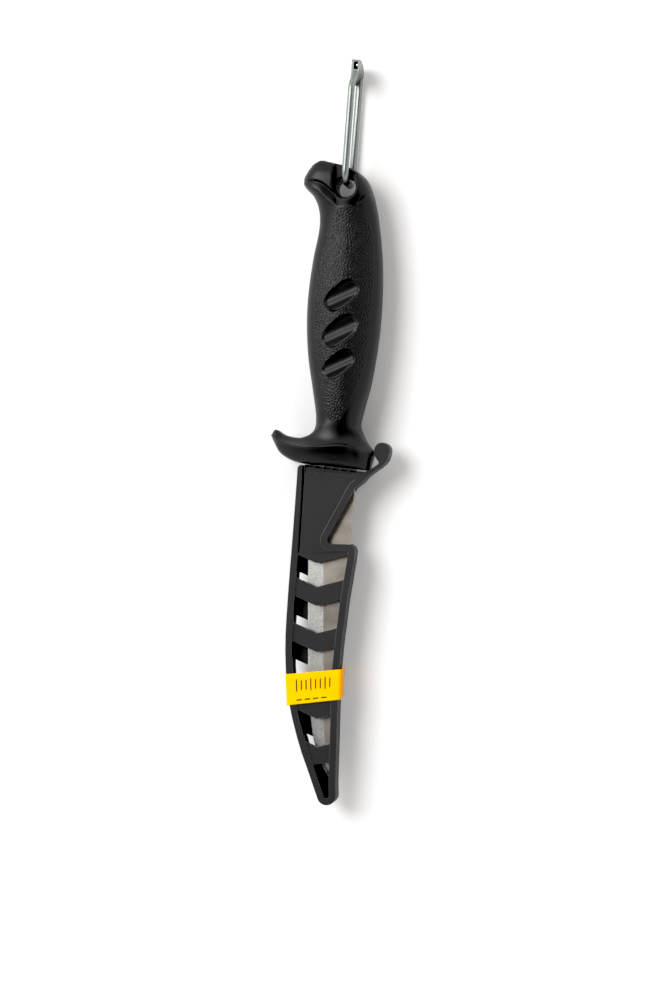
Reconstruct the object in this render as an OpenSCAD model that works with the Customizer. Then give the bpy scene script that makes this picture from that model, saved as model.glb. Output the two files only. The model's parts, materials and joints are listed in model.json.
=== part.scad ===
// Rigging knife in its latticed sheath, with a wire snap link in the lanyard hole.
// It lies on its back: +X towards the blade's spine, +Y towards the pommel, +Z up.
// Inside this file the knife's own axis is Y, the guard's underside is at y = 0 and
// the blade's middle plane is z = 0. place() moves all of it to the row's origin.

/* [Handle] */
// Length of the handle, guard's underside to pommel's top
handle_len = 126.6; // [124:0.2:130]
// Half thickness of the grip at its belly and of the guard at its crest
belly_half = 12; // [11.4:0.1:13]
// Half thickness of the grip at its two waists
waist_half = 9.6; // [9:0.1:10]
// Height of the lanyard hole above the guard's underside
hole_y = 115.6; // [115:0.1:116]
// Sideways place of the lanyard hole
hole_x = 1; // [0.5:0.1:1.5]
// Diameter of the lanyard hole
hole_d = 8.4; // [8.2:0.1:9]
// Width of the groove that the link lies in, on each face of the pommel
groove_w = 10; // [9.6:0.1:11]
// Half thickness of the web left between the two grooves
web_half = 6; // [5.5:0.1:6.5]
// Depth of the three finger recesses
recess_depth = 1.5; // [1:0.1:1.8]

/* [Blade] */
// Length of the blade below the guard
blade_len = 132.8; // [128:0.2:133]
// Thickness of the blade and its tang
blade_t = 2; // [1.6:0.1:2.4]
// Width of the tang inside the handle
tang_w = 11; // [9:0.5:13]
// Length of the tang inside the handle
tang_len = 96; // [80:1:98]

/* [Sheath] */
// Thickness of the sheath over its raised rims
sheath_t = 9.2; // [8.8:0.1:10]
// Width of the raised rim
rim_w = 2.9; // [2.6:0.1:3]
// How far the rim stands above the panel and bars
rim_step = 0.6; // [0.4:0.1:0.9]
// Thickness of the blade slot inside
slot_t = 3.2; // [3:0.1:3.6]
// Thickness of the side walls, left outside the slot
side_wall = 1.5; // [1.3:0.1:1.6]
// Radius of the thumb pad on the retention arm
pad_r = 3.3; // [3:0.1:3.4]

/* [Link] */
// Diameter of the link's wire
wire_d = 2.8; // [2.4:0.1:2.8]
// Distance between the centre lines of the link's two legs
link_w = 20; // [19:0.2:21]
// Length from the hole's centre to the top of the nose
link_len = 53.8; // [53.4:0.2:58]
// Lean of the link away from the knife's axis, in degrees
link_lean = 2.7; // [0:0.1:4]

/* [Hidden] */

rings = 56;
sides = 36;
horn_tip = [-28.2, 11.4];
pad_at = [19.3, 6];
sheath_tip_y = -142.9;

// The lowest corner and the middle of the whole object, from the driving sizes
mid_x = (horn_tip.x + pad_at.x + pad_r) / 2;
nose_w = 3.5;
top_y = hole_y + link_len * cos(link_lean) + nose_w / 2 * sin(link_lean);
mid_y = (sheath_tip_y + top_y) / 2;

module place() translate([-mid_x, -mid_y, belly_half]) children();

// A smooth curve through [place, value] pairs, read at t
function tangent(p, i) =
    let (a = max(i - 1, 0), b = min(i + 1, len(p) - 1))
    (p[b][1] - p[a][1]) / (p[b][0] - p[a][0]);
function span(p, t, i = 0) =
    (i >= len(p) - 2 || t < p[i + 1][0]) ? i : span(p, t, i + 1);
function curve(p, t) =
    let (i = span(p, t),
         w = p[i + 1][0] - p[i][0],
         u = max(0, min(1, (t - p[i][0]) / w)),
         m0 = tangent(p, i) * w,
         m1 = tangent(p, i + 1) * w)
    (2 * u ^ 3 - 3 * u ^ 2 + 1) * p[i][1] + (u ^ 3 - 2 * u ^ 2 + u) * m0
    + (3 * u ^ 2 - 2 * u ^ 3) * p[i + 1][1] + (u ^ 3 - u ^ 2) * m1;

// Points of a round stretch from angle a to angle b
function round_pts(c, r, a, b, n = 10) =
    [for (i = [0:n]) c + r * [cos(a + (b - a) * i / n), sin(a + (b - a) * i / n)]];

// Skins a list of closed rings of equal length into one solid
module skin(loops) {
    n = len(loops[0]);
    last = len(loops) - 1;
    points = [for (l = loops) for (p = l) p];
    walls = [for (k = [0:last - 1]) for (i = [0:n - 1])
             let (j = (i + 1) % n)
             each [[k * n + j, k * n + i, (k + 1) * n + i],
                   [(k + 1) * n + j, k * n + j, (k + 1) * n + i]]];
    first_cap = [for (i = [1:n - 2]) [0, i, i + 1]];
    last_cap = [for (i = [1:n - 2]) [last * n, last * n + i + 1, last * n + i]];
    polyhedron(points, concat(walls, first_cap, last_cap));
}

// ---- Handle: outlines of the grip seen from the front, and its thickness ----
grip_left = [[3, -15], [8, -14], [11, -12], [15, -9.6], [20, -9.5], [30, -11.1], [45, -13.6],
             [60, -14.6], [72, -14.2], [86, -12.6], [97, -10.6], [103, -10.3], [108, -11.2],
             [112, -13.2], [115.4, -16.5], [117.6, -17.6], [120.5, -16.8], [124.5, -14.2],
             [handle_len, -11.5]];
grip_right = [[3, 13], [8, 11.8], [12, 10], [16, 9.5], [23, 10.9], [33, 13.4], [48, 15.7],
              [62, 16.9], [78, 17.1], [90, 16.3], [104, 14.4], [112, 12.5], [117, 10.6],
              [120.5, 8], [123.8, 2.8], [handle_len, -6.8]];
grip_half = [[3, belly_half - 0.8], [8, belly_half - 0.5], [12, waist_half + 0.7],
             [18, waist_half], [36, belly_half - 1], [60, belly_half], [80, belly_half - 0.8],
             [100, waist_half], [112, belly_half - 2], [121, belly_half - 2.2],
             [handle_len, belly_half - 4.6]];

// One ring of the grip: a squared oval, fuller than an ellipse
function grip_ring(y) =
    let (l = curve(grip_left, y), r = curve(grip_right, y),
         h = min(belly_half, curve(grip_half, y)),
         cx = (l + r) / 2, a = (r - l) / 2)
    [for (i = [0:sides - 1])
        let (q = -360 * i / sides, c = cos(q), s = sin(q))
        [cx + a * sign(c) * abs(c) ^ 0.86, y, h * sign(s) * abs(s) ^ 0.9]];
module grip() skin([for (k = [0:rings]) grip_ring(3 + (handle_len - 3) * k / rings)]);

// ---- Guard: lofted from the horn's tip across to the short end ----
guard_low = [[horn_tip.x, 10.4], [-26.5, 7.6], [-24.4, 4.4], [-20.8, 1.9], [-16, 0.1],
             [-7, -0.8], [3, -1.6], [11, -2.3], [13.6, -1.9], [15.4, 4]];
guard_crest = [[horn_tip.x, 11.4], [-26.5, 10.9], [-24.4, 9], [-19, 7.5], [-10, 6.6], [4, 7.4],
               [9, 5.9], [13, 4.8], [15.4, 5]];
guard_top = [[horn_tip.x, 12.2], [-27, 13.7], [-25.4, 13.5], [-22.4, 11.6], [-16, 10.5],
             [-12, 11.4], [0, 14], [9, 12.4], [11.4, 9.8], [15.4, 5.8]];
guard_half = [[horn_tip.x, 2.4], [-27, 4.6], [-24.4, 7], [-19, 9.8], [-12, 11.6],
              [-6, belly_half], [6, belly_half], [11, belly_half - 1], [15.4, 6.5]];
function guard_ring(x) =
    let (b = curve(guard_low, x), c = curve(guard_crest, x), t = curve(guard_top, x),
         h = min(belly_half, curve(guard_half, x)))
    [[x, b, -0.55 * h], [x, b + 0.2 * (c - b), -0.82 * h], [x, c, -h],
     [x, c + 0.55 * (t - c), -0.72 * h], [x, t, -0.3 * h], [x, t, 0.3 * h],
     [x, c + 0.55 * (t - c), 0.72 * h], [x, c, h], [x, b + 0.2 * (c - b), 0.82 * h],
     [x, b, 0.55 * h]];
guard_end = 15.4;
module guard()
    skin([for (k = [0:36]) guard_ring(horn_tip.x + (guard_end - horn_tip.x) * k / 36)]);

recess_r = 9;
recess_turn = 33;
recesses = [[1.3, 69.9, 11.6], [1.05, 55.1, 12], [0.75, 41.2, 11.3]];
module finger_recess(at) {
    // A round-bottomed trough across the crown of the grip
    translate([at.x, at.y, at.z + recess_r - recess_depth])
        rotate([0, 0, recess_turn])
            rotate([0, 90, 0])
                cylinder(h = 40, r = recess_r, center = true);
}

module hole_and_grooves() {
    translate([hole_x, hole_y, -20]) cylinder(h = 40, d = hole_d);
    for (side = [0, 1]) mirror([0, 0, side])
        translate([0, 0, web_half]) {
            translate([hole_x, hole_y, 0]) cylinder(h = 20, d = groove_w);
            translate([hole_x - groove_w / 2, hole_y, 0]) cube([groove_w, 20, 20]);
        }
}

module tang() {
    translate([-tang_w / 2, -3, -blade_t / 2]) cube([tang_w, tang_len + 3, blade_t]);
}

module handle() color([0.06, 0.06, 0.065]) place() difference() {
    union() { grip(); guard(); }
    hole_and_grooves();
    for (at = recesses) for (side = [0, 1]) mirror([0, 0, side]) finger_recess(at);
    tang();
    translate([-11.6, -5, -blade_t / 2]) cube([19.6, 8, blade_t]);
}

// ---- Blade: flat from the spine to the grind line, then ground to the edge ----
edge_x = [[-blade_len, 1.3], [-blade_len + 1.8, -0.1], [-126.2, -3.2], [-117, -6.4],
          [-106, -8.3], [-98, -9.4], [-74, -10.3], [-40, -11.2], [3, -11.6]];
spine_x = [[-blade_len, 1.7], [-110, 1.7], [-88, 2.1], [-74, 2.9], [-58, 4.3], [-46, 5.2],
           [-31, 6.6], [-10, 7.9], [3, 8]];
grind_x = [[-blade_len, 1.5], [-126, 0], [-117, -1.6], [-106, -2.8], [-82, -3.4], [-40, -4.6],
           [-8, -5], [3, -5.2]];
module blade_leaf() {
    stations = 44;
    function leaf_ring(y) =
        let (e = curve(edge_x, y), s = curve(spine_x, y), g = curve(grind_x, y),
             h = blade_t / 2, lip = 0.06)
        [[s, y, -h], [g, y, -h], [e, y, -lip], [e, y, lip], [g, y, h], [s, y, h]];
    skin([for (k = [0:stations]) leaf_ring(-blade_len + (blade_len + 3) * k / stations)]);
}
module blade() color([0.72, 0.72, 0.7]) place() {
    blade_leaf();
    difference() {
        tang();
        for (y = [30, 60, 85]) translate([0, y, -5]) cylinder(h = 10, d = 5);
    }
}

// ---- Sheath ----
sheath_left = [[-134, -5.7], [-125, -9.6], [-115, -13.1], [-98, -17.4], [-77, -19.2],
               [-54, -18.6], [-28, -17.3], [-1, -16.1]];
notch_r = 1.6;
corner_r = 3;
tip_c = [0.05, -138.9];
tip_r = abs(sheath_tip_y - tip_c.y);
mouth_r = [10.2, -2.9];
mouth_slope = 5.6;
notches = 6;
notch_pitch = 3.75;
side_outline = concat(
    [[-14.9, -0.9], [-15.7, -1.3]],
    [for (y = [-2.2:-7:-134]) [curve(sheath_left, y), y]],
    round_pts(tip_c, tip_r, 208, 352, 12),
    [[3.75, -134], [3.75, -88], [4.6, -76], [6.35, -58], [8.75, -41]],
    round_pts([6.2, -36.6], corner_r, -12, 92, 8),
    round_pts([-1.1, -32], notch_r, -88, -211, 8),
    [[8.4, -10], [11.4, -7.6], mouth_r, [-13.1, -0.6], [-13.1, -0.9]]);
module sheath_outline() polygon(side_outline);

// A chevron edge whose apex is at height y; the apex drifts with the sheath's taper
function apex_x(y) = -7.1 + 0.033 * (-42 - y);
left_slope = 0.4;
right_slope = 0.29;
reach = 26;
function chevron(y) =
    [[apex_x(y) - reach, y + left_slope * reach], [apex_x(y), y],
     [apex_x(y) + reach, y + right_slope * reach]];
function chevron_back(y) = let (c = chevron(y)) [c[2], c[1], c[0]];
module window_band(top, bottom) polygon(concat(chevron(top), chevron_back(bottom)));

// Apex heights of each window, top and bottom
front_windows = [[-41.8, -51.8], [-59.7, -71.2], [-79, -95.5], [-107, -118.8]];
// The last window's straight upper edge, from its left end to its right
tip_window = [[-6.5, -126.4], [4, -124.5], [4, -150], [-6.5, -150]];
back_windows = [[-9, -40.8], [-49.2, -59], [-68, -78.3], [-86.8, -106.3], [-116, -126]];
half_t = sheath_t / 2;
panel_half = half_t - rim_step;
seam_w = 0.85;

module inner_region() offset(delta = -rim_w) sheath_outline();
module shell_layer(z0, z1) translate([0, 0, z0]) linear_extrude(z1 - z0) children();

module sheath_body() color([0.19, 0.195, 0.2]) place() difference() {
    union() {
        shell_layer(-panel_half, panel_half) sheath_outline();
        shell_layer(-half_t, half_t) difference() {
            sheath_outline();
            inner_region();
            // The rim stops at the mouth, which stays open
            translate([-13.1, -4]) square([20.2, 12]);
        }
    }
    // Slot for the blade, open at the mouth and through the notch
    shell_layer(-slot_t / 2, slot_t / 2) {
        offset(delta = -side_wall) sheath_outline();
        polygon([[-12.6, 8], [8.6, 8], [8.5, -10], [7.2, -31], [5.8, -46], [-12.6, -46]]);
    }
    // Windows in the front wall
    shell_layer(0, half_t + 1) intersection() {
        inner_region();
        union() {
            for (w = front_windows) window_band(w[0], w[1]);
            polygon(tip_window);
        }
    }
    // Windows in the back wall lie behind the front bars, so the mould opens straight
    shell_layer(-half_t - 1, 0) intersection() {
        inner_region();
        for (w = back_windows) window_band(w[0], w[1]);
    }
    // Narrow opening between the left rim and the front panel
    shell_layer(0, half_t + 1)
        polygon([[-13.1 - seam_w, -0.2], [-13.1, -0.2], [-14.5, -38.6], [-14.5 - seam_w, -38.6]]);
    // Drain notches along the mouth
    translate([-12.3, -0.7, panel_half - 0.9]) rotate([0, 0, -mouth_slope])
        for (i = [0:notches - 1]) translate([notch_pitch * i, -0.8, 0]) cube([2.7, 3, 6]);
}

// ---- Retention arm: moulded with the sheath, springs outward at its root ----
module retention_arm() color([0.19, 0.195, 0.2]) place()
    translate([0, 0, -half_t]) linear_extrude(sheath_t) union() {
        polygon([mouth_r, [11.4, -7.6], [12.9, -5.8], [14.7, -4.1], [17.2, -2.3], [19.3, -0.7],
                 [20.8, 0.7], [21.8, 2.2], [22.35, 4.2], [22.5, 5.4], [16.2, 5.4], [16.4, 3.5],
                 [17.2, 2.3], [18, 1.3], [18, 0.5], [16.9, -0.4], [14.4, -2.1], [12.2, -3.2]]);
        translate(pad_at) circle(r = pad_r);
    }

// ---- Label: a paper strip over the front rims, folded down both sides ----
label_t = 0.2;
label_tl = [-18.95, -88.8];
label_bl = [-17.95, -101.8];
label_tr = [5.1, -85.75];
label_br = [5.1, -98.4];
label_top_z = half_t + 0.1 + label_t;
label_fold_z = -4;
label_rise = 1.3;
module wrap_label() color([1, 0.74, 0.02]) place() {
    translate([0, 0, label_top_z - label_t]) linear_extrude(label_t)
        polygon([label_tl, label_bl, label_br, label_tr]);
    // Fold at the edge side
    translate([0, 0, label_fold_z]) linear_extrude(label_top_z - label_fold_z)
        polygon([label_tl, label_bl, label_bl + [label_t, 0], label_tl + [label_t, 0]]);
    // Fold at the spine side, climbing as it goes back
    translate([label_tr.x, 0, 0]) rotate([0, -90, 0]) linear_extrude(label_t)
        polygon([[label_top_z, label_br.y], [label_top_z, label_tr.y],
                 [label_fold_z, label_tr.y + label_rise], [label_fold_z, label_br.y + label_rise]]);
}

// ---- Link: drawn with the hole's centre as its origin, Y up along the link ----
wire_r = wire_d / 2;
gate_r = wire_r - 0.02;
leg_z = link_w / 2;
foot_y = 1.9;
bend_r = 5;
lean_from = 40.2;
lean_bend = 4;
lean_angle = 50;
bend_swell = 0.05;
rivet_y = 8.4;
rivet_r = 0.6;
tongue_t = 1.2;
fork_slot = 1.4;
spring_at = rivet_y + wire_r + 0.15;
spring_h = 3.4;
seat_y = link_len - 7;
seat_angle = 54;
nose_front = 3.7;
nose_pin_at = [0.65, link_len - 2.3, 2.6];
nose_pin_r = 0.8;

module link_place()
    place() translate([hole_x, hole_y, 0]) rotate([0, 0, -link_lean]) children();
// A straight piece of wire along Y, in the leg at z
module wire_y(z, y0, y1, r = wire_r)
    translate([0, y0, z]) rotate([-90, 0, 0]) cylinder(h = y1 - y0, r = r);
// A bend in the YZ plane, from an angle that is measured from +Z towards +Y
module wire_bend(y, z, r, from, sweep)
    translate([0, y, z]) rotate([0, -90, 0]) rotate([0, 0, from])
        rotate_extrude(angle = sweep) translate([r, 0]) circle(r = wire_r);
// A short shaft across the link at the gate's hinge
module hinge_disc(width, r)
    translate([-width / 2, rivet_y, -leg_z]) rotate([0, 90, 0]) cylinder(h = width, r = r);
// Everything below the slanted seat where the gate meets the nose
module below_seat(gap)
    translate([0, seat_y - gap, 0]) rotate([0, 0, seat_angle])
        translate([-45, -60, -30]) cube([90, 60, 60]);

module link_body() color([0.62, 0.64, 0.63]) link_place() difference() {
    union() {
        wire_y(leg_z, foot_y + bend_r, lean_from);
        wire_bend(lean_from, leg_z - lean_bend, lean_bend, 0, lean_angle);
        translate([0, lean_from + lean_bend * sin(lean_angle),
                   leg_z - lean_bend * (1 - cos(lean_angle))])
            rotate([-90 - lean_angle, 0, 0]) {
                cylinder(h = 8.4, r = wire_r);
                sphere(r = wire_r + bend_swell);
            }
        wire_bend(foot_y + bend_r, leg_z - bend_r, bend_r, 270, 90);
        translate([0, foot_y, -leg_z + bend_r]) cylinder(h = link_w - 2 * bend_r, r = wire_r);
        wire_bend(foot_y + bend_r, -leg_z + bend_r, bend_r, 180, 90);
        // Tongue that the gate's fork turns on
        translate([-tongue_t / 2, foot_y + bend_r - 0.2, -leg_z - wire_r + 0.2])
            cube([tongue_t, rivet_y - foot_y - bend_r + 0.2, wire_d - 0.4]);
        hinge_disc(tongue_t, wire_r);
        nose();
    }
    // Pocket in the front of the nose, with the hole for its pin
    translate([-0.8, link_len - 4.2, -0.8]) cube([1.8, 3.3, 6]);
    translate([nose_pin_at.x, nose_pin_at.y, -2.8]) cylinder(h = 4, r = 0.5);
    hinge_disc(tongue_t + 1, rivet_r);
}
// Flattened nose: a broad front block, and a narrower bar back to the gate
module nose() difference() {
    union() {
        nose_plate(nose_w, [[seat_y - 1, -1.5], [seat_y - 1, nose_front], [link_len - 0.6, nose_front],
                         [link_len, nose_front - 0.6], [link_len, -1.5]]);
        nose_plate(2.8, [[seat_y - 3, -leg_z - wire_r], [seat_y - 3, -1], [link_len, -1],
                         [link_len - 0.15, -6.4], [link_len - 0.7, -8.6], [link_len - 1.8, -10.3],
                         [link_len - 3.6, -leg_z - wire_r]]);
    }
    below_seat(0);
}
module nose_plate(width, outline)
    translate([width / 2, 0, 0]) rotate([0, -90, 0]) linear_extrude(width)
        polygon([for (p = outline) [p[1], p[0]]]);

module link_gate() color([0.6, 0.62, 0.6]) link_place() difference() {
    union() {
        intersection() {
            wire_y(-leg_z, rivet_y, link_len, gate_r);
            below_seat(0.15);
        }
        hinge_disc(2 * wire_r, wire_r);
    }
    // Slot of the fork, the spring's bore and the rivet's hole
    translate([-fork_slot / 2, rivet_y - 4, -leg_z - 4])
        cube([fork_slot, 4 + wire_r + 0.15, 8]);
    translate([0, rivet_y, -leg_z]) rotate([-90, 0, 0])
        cylinder(h = wire_r + 0.15 + spring_h, r = 0.7);
    hinge_disc(6, rivet_r);
}

module gate_rivet() color([0.7, 0.7, 0.68]) link_place() {
    hinge_disc(wire_d + 0.6, rivet_r);
    for (side = [0, 1]) mirror([side, 0, 0])
        translate([wire_r + 0.02, rivet_y, -leg_z]) rotate([0, 90, 0]) cylinder(h = 0.3, r = 0.9);
}

// The gate's return spring, close wound in the bore above the tongue
module gate_spring() color([0.5, 0.5, 0.5]) link_place()
    translate([0, spring_at, -leg_z]) rotate([-90, 0, 0])
        rotate_extrude()
            polygon(concat([[0.28, 0], [0.28, spring_h - 0.1]],
                [for (i = [8:-1:0]) [(i % 2 == 0) ? 0.64 : 0.5, (spring_h - 0.1) * i / 8]]));

module nose_pin() color([0.8, 0.8, 0.78]) link_place() translate(nose_pin_at) {
    sphere(r = nose_pin_r);
    translate([0, 0, -2.8]) cylinder(h = 2.8, r = 0.5);
}

$fn = 48;
blade();
handle();
sheath_body();
retention_arm();
wrap_label();
link_body();
link_gate();
gate_rivet();
gate_spring();
nose_pin();
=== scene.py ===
# %% [markdown]
# # A sailor's rigging knife in its sheath
# The real object is a fixed-blade knife with a moulded black handle, pushed into a grey
# plastic sheath with slanted windows. A wire snap link hangs in the pommel's hole.
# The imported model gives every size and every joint. This script keeps its box and its
# joints, and makes the surfaces that a solid modeller leaves plain.

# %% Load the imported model
import json
import math

import bmesh
import bpy
import numpy as np
from mathutils import Matrix, Vector


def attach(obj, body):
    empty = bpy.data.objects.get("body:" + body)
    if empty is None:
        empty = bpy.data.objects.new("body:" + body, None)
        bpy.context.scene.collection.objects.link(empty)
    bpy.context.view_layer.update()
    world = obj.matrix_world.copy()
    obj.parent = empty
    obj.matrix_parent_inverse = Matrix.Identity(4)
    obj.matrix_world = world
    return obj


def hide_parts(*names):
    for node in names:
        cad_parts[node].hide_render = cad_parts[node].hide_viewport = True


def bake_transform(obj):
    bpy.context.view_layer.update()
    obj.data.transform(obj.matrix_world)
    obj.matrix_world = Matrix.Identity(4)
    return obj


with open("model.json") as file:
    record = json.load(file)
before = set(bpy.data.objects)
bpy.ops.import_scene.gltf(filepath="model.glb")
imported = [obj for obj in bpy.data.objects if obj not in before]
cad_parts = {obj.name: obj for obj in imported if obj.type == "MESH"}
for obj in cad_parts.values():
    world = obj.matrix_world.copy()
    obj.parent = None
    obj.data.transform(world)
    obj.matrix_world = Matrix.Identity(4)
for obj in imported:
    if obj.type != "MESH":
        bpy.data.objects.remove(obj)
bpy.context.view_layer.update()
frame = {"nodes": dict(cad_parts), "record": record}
joints = {j["name"]: j for j in frame["record"]["behaviour"]["joints"]}

# %% [markdown]
# The knife is easiest to describe from its own axis: y runs up the knife from the guard's
# underside, and z is 0 in the middle of the blade. The lanyard hole is the pivot of the
# link's swing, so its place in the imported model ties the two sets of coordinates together.

# %% The knife's own coordinates, in millimetres
MM = 0.001
HOLE = (1.0, 115.6)  # the middle of the lanyard hole
hinge = joints["link_swing"]["pos_m"]
KNIFE_ORIGIN = Vector(hinge) - Vector((HOLE[0], HOLE[1], 0)) * MM


def place(x, y, z=0.0):
    """A point given in the knife's own millimetres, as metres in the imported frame."""
    return KNIFE_ORIGIN + Vector((x, y, z)) * MM


def place_all(points):
    """The same for many points at once."""
    return np.asarray(points, float) * MM + np.array(KNIFE_ORIGIN)


print("the knife's own origin is at", [round(v, 5) for v in KNIFE_ORIGIN])

# %% [markdown]
# ## Camera, floor and light
# The knife is seen from straight above, turned a few degrees so that a little of the
# spine side shows. A long lens keeps the outline close to a drawing's.

# %% Camera
LOOK_AT = place(-1.2, -15.2)
LOOK_FROM = 1.0  # metres above the knife
LOOK_SIDE = math.radians(9)
LOOK_ROLL = math.radians(1.68)
SEEN_HEIGHT = 0.42  # metres of the floor from the bottom of the view to its top

camera_data = bpy.data.cameras.new("camera")
camera = bpy.data.objects.new("camera", camera_data)
bpy.context.scene.collection.objects.link(camera)
back = Vector((math.sin(LOOK_SIDE), 0, math.cos(LOOK_SIDE)))
up = Vector((-math.sin(LOOK_ROLL), math.cos(LOOK_ROLL), 0))
right = up.cross(back).normalized()
turned = Matrix((right, back.cross(right), back)).transposed().to_4x4()
camera.matrix_world = Matrix.Translation(LOOK_AT + back * LOOK_FROM) @ turned
camera_data.angle = 2 * math.atan(SEEN_HEIGHT / 2 / LOOK_FROM)
camera_data.clip_start = 0.05
bpy.context.scene.camera = camera
print("camera at", [round(v, 3) for v in camera.location])

# %% [markdown]
# White plastic film or paper is the usual ground for such a tool. A large soft lamp high on
# the left gives the bright left flanks and the pale shadow on the right, and an even
# white surrounding fills the rest.

# %% Lamp and surrounding light
KEY_AT, KEY_SIZE, KEY_POWER = (-0.58, 0.36, 0.92), 0.8, 10.0
CEILING_FROM, CEILING_FULL = 0.5, 0.95  # heights on a sphere of radius 1


def add_lamp(name, at, size, power):
    """A round soft lamp that points at the middle of the floor."""
    lamp = bpy.data.objects.new(name, bpy.data.lights.new(name, "AREA"))
    lamp.data.shape = "DISK"
    lamp.data.size = size
    lamp.data.energy = power
    lamp.location = at
    lamp.rotation_euler = (-Vector(at)).to_track_quat("-Z", "Y").to_euler()
    bpy.context.scene.collection.objects.link(lamp)
    return lamp


def set_range(node, low, high, to_low, to_high):
    """Sets a Map Range node, which carries low..high to another range."""
    numbers = {"From Min": low, "From Max": high, "To Min": to_low, "To Max": to_high}
    for label, number in numbers.items():
        node.inputs[label].default_value = number


def make_studio(overhead, horizon):
    """White walls all round and a dark ceiling, so that black plastic stays black."""
    world = bpy.data.worlds.new("studio")
    world.use_nodes = True
    tree = world.node_tree
    way = tree.nodes.new("ShaderNodeTexCoord").outputs["Generated"]
    parts = tree.nodes.new("ShaderNodeSeparateXYZ")
    height = tree.nodes.new("ShaderNodeMapRange")
    height.interpolation_type = "SMOOTHSTEP"
    tree.links.new(way, parts.inputs[0])
    tree.links.new(parts.outputs["Z"], height.inputs["Value"])
    set_range(height, CEILING_FROM, CEILING_FULL, horizon, overhead)
    background = tree.nodes["Background"]
    background.inputs["Color"].default_value = (1, 0.985, 0.975, 1)
    tree.links.new(height.outputs["Result"], background.inputs["Strength"])
    return world


def set_tones(black, white):
    """Standard colours, with the deepest and the brightest tones pushed a little outward."""
    view = bpy.context.scene.view_settings
    view.view_transform = "Standard"
    view.use_curve_mapping = True
    view.curve_mapping.black_level = (black,) * 3
    view.curve_mapping.white_level = (white,) * 3
    view.curve_mapping.update()


key = add_lamp("key_lamp", KEY_AT, KEY_SIZE, KEY_POWER)
bpy.context.scene.world = make_studio(overhead=0.05, horizon=1.2)
set_tones(black=0.014, white=0.86)
print("lamp:", key.name, "at", [round(v, 2) for v in key.location])

# %% [markdown]
# ## Finishes
# Every finish is made of nodes. Two effects serve more than one material, so each is a
# node group: the fine mottle of a moulded plastic, and the streaks of worked metal. A
# group gives out masks and heights only, and the shader itself stays in the material.

# %% Helpers for node groups and materials


def start_group(name, inputs, outputs):
    """An empty node group with number sockets, and its nodes for what goes in and out."""
    group = bpy.data.node_groups.new(name, "ShaderNodeTree")
    for label, value in inputs:
        socket = group.interface.new_socket(label, in_out="INPUT", socket_type="NodeSocketFloat")
        socket.default_value = value
    for label in outputs:
        group.interface.new_socket(label, in_out="OUTPUT", socket_type="NodeSocketFloat")
    return group, group.nodes.new("NodeGroupInput"), group.nodes.new("NodeGroupOutput")


def add(tree, kind, **values):
    """A new node. Names of its own settings are set on it, all others on its sockets."""
    node = tree.nodes.new(kind)
    for name, value in values.items():
        if hasattr(node, name):
            setattr(node, name, value)
        else:
            node.inputs[name.replace("_", " ").title()].default_value = value
    return node


def math_node(tree, operation, a, b=None):
    """A sum of two numbers or sockets, such as ADD or MULTIPLY."""
    node = tree.nodes.new("ShaderNodeMath")
    node.operation = operation
    for socket, value in zip(node.inputs, (a, b)):
        if isinstance(value, (int, float)):
            socket.default_value = value
        elif value is not None:
            tree.links.new(value, socket)
    return node.outputs[0]


def colour_mix(tree, mask, dark, light):
    """A colour between dark and light. A Mix node has sockets for every data type."""
    node = tree.nodes.new("ShaderNodeMix")
    node.data_type = "RGBA"
    factor = [s for s in node.inputs if s.name == "Factor" and s.type == "VALUE"][0]
    pair = [s for s in node.inputs if s.name in "AB" and s.type == "RGBA"]
    tree.links.new(mask, factor)
    for socket, value in zip(pair, (dark, light)):
        if isinstance(value, tuple):
            socket.default_value = (*value, 1)
        else:
            tree.links.new(value, socket)
    return [s for s in node.outputs if s.type == "RGBA"][0]


print("helpers ready")

# %% Group: moulded mottle


def make_mottle():
    """Height is the fine skin of a moulding, and Cloud its slow change of tone."""
    group, given, gives = start_group(
        "moulded_mottle", [("Fine Scale", 2500.0), ("Cloud Scale", 60.0)], ["Height", "Cloud"]
    )
    spot = add(group, "ShaderNodeTexCoord").outputs["Object"]
    fine = add(group, "ShaderNodeTexNoise", detail=2.0, roughness=0.6)
    cloud = add(group, "ShaderNodeTexNoise", detail=3.0, roughness=0.55)
    for node, label in ((fine, "Fine Scale"), (cloud, "Cloud Scale")):
        group.links.new(spot, node.inputs["Vector"])
        group.links.new(given.outputs[label], node.inputs["Scale"])
    group.links.new(fine.outputs["Fac"], gives.inputs["Height"])
    group.links.new(cloud.outputs["Fac"], gives.inputs["Cloud"])
    return group


mottle = make_mottle()
print("group:", mottle.name)

# %% Group: worked metal


def make_streaks():
    """Streak is noise drawn out along the knife, and Speckle the grain of the metal."""
    group, given, gives = start_group(
        "worked_metal",
        [("Scale", 900.0), ("Stretch", 0.08), ("Speckle Scale", 3000.0)],
        ["Streak", "Speckle"],
    )
    spot = add(group, "ShaderNodeTexCoord").outputs["Object"]
    stretch = add(group, "ShaderNodeCombineXYZ", x=1.0, z=1.0)
    group.links.new(given.outputs["Stretch"], stretch.inputs["Y"])
    scaled = add(group, "ShaderNodeVectorMath", operation="MULTIPLY")
    group.links.new(spot, scaled.inputs[0])
    group.links.new(stretch.outputs[0], scaled.inputs[1])
    streak = add(group, "ShaderNodeTexNoise", detail=2.0, roughness=0.6)
    speckle = add(group, "ShaderNodeTexNoise", detail=1.0, roughness=0.5)
    group.links.new(scaled.outputs[0], streak.inputs["Vector"])
    group.links.new(spot, speckle.inputs["Vector"])
    group.links.new(given.outputs["Scale"], streak.inputs["Scale"])
    group.links.new(given.outputs["Speckle Scale"], speckle.inputs["Scale"])
    group.links.new(streak.outputs["Fac"], gives.inputs["Streak"])
    group.links.new(speckle.outputs["Fac"], gives.inputs["Speckle"])
    return group


streaks = make_streaks()
print("group:", streaks.name)

# %% How a material starts
NOISE = (0.3, 0.7)  # nearly all values of a noise texture lie between these


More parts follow.
